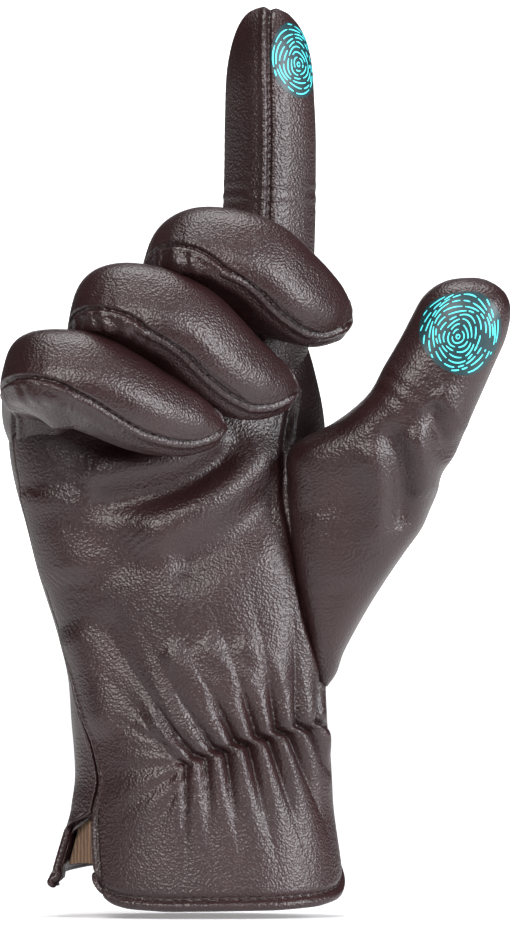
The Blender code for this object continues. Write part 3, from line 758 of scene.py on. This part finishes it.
# Level sections of the thumb's root, from the point at the wrist up to the crotch, then sections across
# the thumb to its tip: centre, half width to the left and right in the view, half depth, tilt in degrees.
THUMB_STATIONS = (
    (33.0, -4, 62.0, 0.5, 0.8, 1.0, 0), (32.8, -4.2, 66, 2.4, 3.6, 5.0, 0),
    (33.0, -4.5, 72, 4.2, 5.6, 8.6, 0),
    (34.4, -5, 82, 7.8, 9.6, 11.8, 0), (36, -5.2, 91, 11.2, 13.6, 13.6, 0),
    (38, -5.6, 99, 14.0, 17.0, 15.0, -2),
    (40.4, -6.2, 107, 17.4, 19.4, 15.8, -6), (42.6, -7.8, 114.4, 20.2, 19.8, 16.6, -11),
    (45.2, -10.0, 121.4, 22.4, 19.6, 17.0, -17), (49.4, -12.8, 128.4, 15.4, 17.6, 16.4, -26),
    (54.4, -15.4, 135.8, 11.8, 17.6, 15.2, -34), (59.2, -17.2, 143.2, 12.0, 16.4, 14.2, -37),
    (64.0, -18.2, 150.4, 12.6, 14.6, 13.4, -36), (68.2, -19, 157.4, 13.0, 13.4, 12.8, -32),
    (71.4, -19.6, 163.4, 12.8, 12.8, 12.0, -26), (73.8, -20, 168.4, 11.2, 11.0, 10.4, -20),
    (75.2, -20.2, 171.6, 8.6, 8.2, 7.8, -16), (75.8, -20.2, 173.4, 5.2, 4.8, 4.6, -14),
    (76.0, -20.2, 174.3, 1.6, 1.6, 1.6, -14),
)
# Creases of the thumb in the view, as rise, half width and (X, Z) points.
THUMB_CREASES = (
    (-2.2, 3.4, ((48, 136), (52.5, 127), (54.4, 118), (54.2, 104))),
    (1.4, 4.0, ((43.6, 130), (46.6, 120), (47.4, 110), (45.4, 99))),
    (1.5, 3.2, ((56.6, 134), (59.4, 124), (59.6, 113))),
    (-1.9, 2.8, ((61.4, 140.4), (65.4, 131), (68.0, 124))),
    (0.8, 3.4, ((64, 145), (69, 137), (73, 132))),
    (1.0, 8.0, ((32, 112), (36, 99), (37, 88))),
)


def make_thumb():
    line = curve(THUMB_STATIONS, FINE)
    centre, left, right, deep = line[:, :3], line[:, 3:4], line[:, 4:5], line[:, 5:6]
    tilt = np.radians(line[:, 6])
    wide = np.stack([np.cos(tilt), 0 * tilt, np.sin(tilt)], 1)
    angle = np.arange(THUMB_AROUND) * 2 * math.pi / THUMB_AROUND
    c, s = np.cos(angle)[None], np.sin(angle)[None]
    free = smooth(112, 136, centre[:, 2:3])
    squareness = 2.5 + 0.9 * smooth(72, 96, centre[:, 2:3]) - 0.9 * free
    half = np.where(c > 0, right, left)
    radius = (np.abs(c / half) ** squareness + np.abs(s / deep) ** squareness) ** (-1 / squareness)
    grid = centre[:, None] + (c * radius)[..., None] * wide[:, None]
    grid[..., 1] += s * radius
    normals = grid_normals(grid, True)
    front = smooth(0.0, 0.4, -normals[..., 1])
    x, z = grid[..., 0], grid[..., 2]
    height = 0.5 * lattice(grid, 15.0, 81)
    height += front * near_lines(x, z, THUMB_CREASES)
    share = np.linspace(0, 1, len(grid))[:, None]
    ring = np.zeros_like(x) + share
    height += 0.12 * front * bell((ring - 0.68) * 100, 6.0) * np.sin(share * 160 + 2 * lattice(grid, 7.0, 83))
    # Side seams run up the thumb's two edges.
    here = np.cumsum(np.r_[0, np.linalg.norm(np.diff(centre, axis=0), axis=1)])[:, None] + 0 * angle[None]
    for wanted in (150.0, 18.0):
        gap = ((np.degrees(angle)[None] - wanted + 180) % 360 - 180) * math.pi / 180 * radius
        height += 0.5 * seam_profile(gap, here) * free * smooth(1.0, 0.975, share)
    height *= smooth(0, 0.03, share)
    return grid + normals * height[..., None], centre


thumb_grid, thumb_centre = make_thumb()
thumb_normals = grid_normals(thumb_grid, True)
thumb_root, thumb_knuckle = JOINT_AT["thumb_root"], JOINT_AT["thumb_knuckle"]
thumb_way = unit(thumb_knuckle - thumb_root)
thumb_split = nearest_row(thumb_centre, thumb_root + thumb_way * 15)
root_piece = grid_piece("thumb_root_skin", thumb_grid, thumb_normals, True, 0, thumb_split, [LEATHER])
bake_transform(root_piece)
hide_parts("thumb_gusset_leather", "thumb_root_gusset", "thumb_proximal_leather",
            "thumb_proximal_lining")
end_piece = grid_piece("thumb_end_skin", thumb_grid, thumb_normals, True, thumb_split, len(thumb_grid) - 1,
                       [LEATHER], True)
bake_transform(end_piece)
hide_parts("thumb_knuckle_gusset", "thumb_tip_leather", "thumb_tip_lining")


# ---------------------------------------------------------------- the printed touch marks

def touch_print(name, grid, normals, row, column, half_rows, half_columns, node, body,
                tilt=0.0, seed=5):
    """A dark teal oval with pale arched lines, printed on the skin: a made-up mark. The lines also glow
    faintly, which is painted light.
    """
    row_step = np.linalg.norm(grid[row + 1, column] - grid[row - 1, column]) / 2
    column_step = np.linalg.norm(grid[row, column + 1] - grid[row, column - 1]) / 2
    columns = grid.shape[1]

    def place(u, v, rise):
        """The point of the skin at (u, v) millimetres from the mark's centre, across and up."""
        a = math.radians(tilt)
        across, up = u * math.cos(a) - v * math.sin(a), u * math.sin(a) + v * math.cos(a)
        i = np.clip(row + up / row_step, 0, grid.shape[0] - 1.001)
        j = (column + across / column_step) % columns
        i0, j0 = i.astype(int), j.astype(int)
        p, q = (i - i0)[..., None], (j - j0)[..., None]
        found = []
        for field in (grid, normals):
            j1 = (j0 + 1) % columns
            found.append((1 - p) * (1 - q) * field[i0, j0] + p * (1 - q) * field[i0 + 1, j0]
                         + (1 - p) * q * field[i0, j1] + p * q * field[i0 + 1, j1])
        return found[0] + unit(found[1]) * rise

    points, faces, kinds = [], [], []

    def add(sheet, kind):
        faces.extend(grid_faces(sheet.shape[0], sheet.shape[1], False, sum(map(len, points))).tolist())
        kinds.extend([kind] * ((sheet.shape[0] - 1) * (sheet.shape[1] - 1)))
        points.append(sheet.reshape(-1, 3))

    ring, turned = np.meshgrid(np.linspace(0.02, 1, 26), np.linspace(0, 2 * math.pi, 73), indexing="ij")
    add(place(ring * half_columns * np.cos(turned), ring * half_rows * np.sin(turned), 0.06)[:, ::-1], 0)
    pitch, width = 1.26, 0.2
    rings = int(min(half_rows, half_columns) / pitch)
    rng = np.random.default_rng(seed)
    for k in range(rings + 3):
        # Arches stacked round a core below the centre, each cut to the oval and broken into dashes.
        size = (k + 0.45) * pitch
        start = rng.uniform(0, 0.5)
        while start < 2 * math.pi:
            length = rng.uniform(1.6, 6.5) / size
            turn = np.linspace(start, min(start + length, 2 * math.pi), max(int(length * size / 0.35), 4))
            core_u, core_v = 0.0, -0.16 * half_rows
            wobble = 1 + 0.05 * np.sin(3 * turn + k)
            u = core_u + size * 0.86 * wobble * np.cos(turn)
            v = core_v + size * 1.12 * wobble * np.sin(turn) * np.where(np.sin(turn) > 0, 1.0, 0.86)
            fits = (u / (half_columns - 0.5)) ** 2 + (v / (half_rows - 0.5)) ** 2 < 1
            if fits.sum() > 3:
                first = int(np.argmax(fits))
                last = first + int(np.argmin(np.r_[fits[first:], False]))
                u, v = u[first:last], v[first:last]
                if len(u) > 3:
                    away = unit(np.stack([-np.gradient(v), np.gradient(u)], 1))
                    thin = width * np.sin(np.linspace(0.35, math.pi - 0.35, len(u)))[:, None] ** 0.4
                    sides = [np.stack([u, v], 1) + away * thin * side for side in (1, 0, -1)]
                    sheet = np.stack([place(p[:, 0], p[:, 1], 0.10 + 0.05 * (n == 1))
                                      for n, p in enumerate(sides)], 1)
                    add(sheet, 1)
            start += length + rng.uniform(0.7, 1.3) / size
    made = mesh_of(name, np.vstack(points), faces, [TINT, PRINT_LINES_PAINTED_GLOW], kinds)
    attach(made, body)
    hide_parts(node)
    return made


def column_at(grid, degrees):
    return int(round(degrees / 360 * grid.shape[1])) % grid.shape[1]


index_normals = grid_normals(index_grid, True)
print_row = nearest_row(index_centre, (17.8, 7, 235.4))
touch_print("index_print", index_grid, index_normals, print_row, column_at(index_grid, 276), 11.0, 8.6,
            "index_touch_print", "index_tip", seed=5)
thumb_row = nearest_row(thumb_centre, (68.8, -19.2, 160.4))
touch_print("thumb_print", thumb_grid, thumb_normals, thumb_row, column_at(thumb_grid, 271), 11.4, 12.0,
            "thumb_touch_print", "thumb_tip", 6.0, seed=11)


# ---------------------------------------------------------------- stage, lights and camera

def stage_piece(name, points, faces, colour, roughness):
    made = mesh_of(name, points, faces, [material(name, colour, roughness)[0]])
    return made


REACH = 9000.0
BACKDROP_AT = 5200.0
FLOOR_AT = -1.6
FLOOR_FRONT = -240.0
WALL_HALF = 1100.0  # narrow, so that it throws no rim of light on the glove
floor = [(x, y, FLOOR_AT) for x in (-REACH, REACH) for y in (FLOOR_FRONT, BACKDROP_AT)]
pale_floor = stage_piece("pale_floor", floor, [(0, 2, 3, 1)], (0.86, 0.86, 0.87), 0.9)
wall = [(x, BACKDROP_AT, z) for x in (-WALL_HALF, WALL_HALF) for z in (FLOOR_AT, 2 * WALL_HALF)]
backdrop = stage_piece("white_backdrop", wall, [(0, 2, 3, 1)], (0.9, 0.9, 0.9), 0.9)
glow = backdrop.data.materials[0].node_tree.nodes["Principled BSDF"]
glow.inputs["Emission Color"].default_value = (1, 1, 1, 1)
glow.inputs["Emission Strength"].default_value = 1.0
floor_tree = pale_floor.data.materials[0].node_tree
floor_glow = floor_tree.nodes["Principled BSDF"]
floor_glow.inputs["Emission Color"].default_value = (1, 1, 1, 1)
floor_place = floor_tree.nodes.new("ShaderNodeTexCoord")
floor_reach = floor_tree.nodes.new("ShaderNodeVectorMath")
floor_reach.operation = "LENGTH"
# The floor far from the glove glows, as if lit by the room.
floor_fade = floor_tree.nodes.new("ShaderNodeMapRange")
floor_fade.inputs["From Min"].default_value = 0.15
floor_fade.inputs["From Max"].default_value = 1.2
floor_fade.inputs["To Min"].default_value = 0.25
floor_fade.inputs["To Max"].default_value = 0.9
floor_tree.links.new(floor_place.outputs["Object"], floor_reach.inputs[0])
floor_tree.links.new(floor_reach.outputs["Value"], floor_fade.inputs["Value"])
floor_tree.links.new(floor_fade.outputs["Result"], floor_glow.inputs["Emission Strength"])


def area_light(name, place, aim, size, power, colour):
    data = bpy.data.lights.new(name, "AREA")
    data.shape = "RECTANGLE"
    data.size, data.size_y = size
    data.energy = power
    data.color = colour
    lamp = bpy.data.objects.new(name, data)
    bpy.context.scene.collection.objects.link(lamp)
    lamp.location = place
    direction = np.asarray(aim) - np.asarray(place)
    lamp.rotation_euler = Vector(direction).to_track_quat("-Z", "Y").to_euler()


CENTRE = (0.0138, -0.01, 0.124)
area_light("key_softbox", (-0.26, -1.0, 0.62), CENTRE, (0.44, 0.52), 12.5, (1.0, 0.97, 0.96))
area_light("right_softbox", (0.95, -0.65, 0.42), CENTRE, (0.36, 0.7), 19, (0.96, 0.97, 1.0))
area_light("top_softbox", (0.0, 0.1, 1.1), CENTRE, (0.8, 0.5), 10, (1, 1, 1))
world = bpy.data.worlds.new("studio")
world.use_nodes = True
world.node_tree.nodes["Background"].inputs["Color"].default_value = (0.92, 0.94, 1.0, 1)
world.node_tree.nodes["Background"].inputs["Strength"].default_value = 0.05
bpy.context.scene.world = world
bpy.context.scene.view_settings.view_transform = "Standard"
bpy.context.scene.view_settings.look = "None"

camera_data = bpy.data.cameras.new("camera")
camera_data.sensor_fit = "VERTICAL"
camera_data.sensor_height = 36
CAMERA_AWAY = 3.4
VIEW_HEIGHT = 0.2553
camera_data.lens = 36 * CAMERA_AWAY / VIEW_HEIGHT
camera_data.clip_end = 20
camera = bpy.data.objects.new("camera", camera_data)
bpy.context.scene.collection.objects.link(camera)
camera.location = (0.0138, -0.01 - CAMERA_AWAY, 0.1237)
camera.rotation_euler = (math.pi / 2, 0, 0)
bpy.context.scene.camera = camera
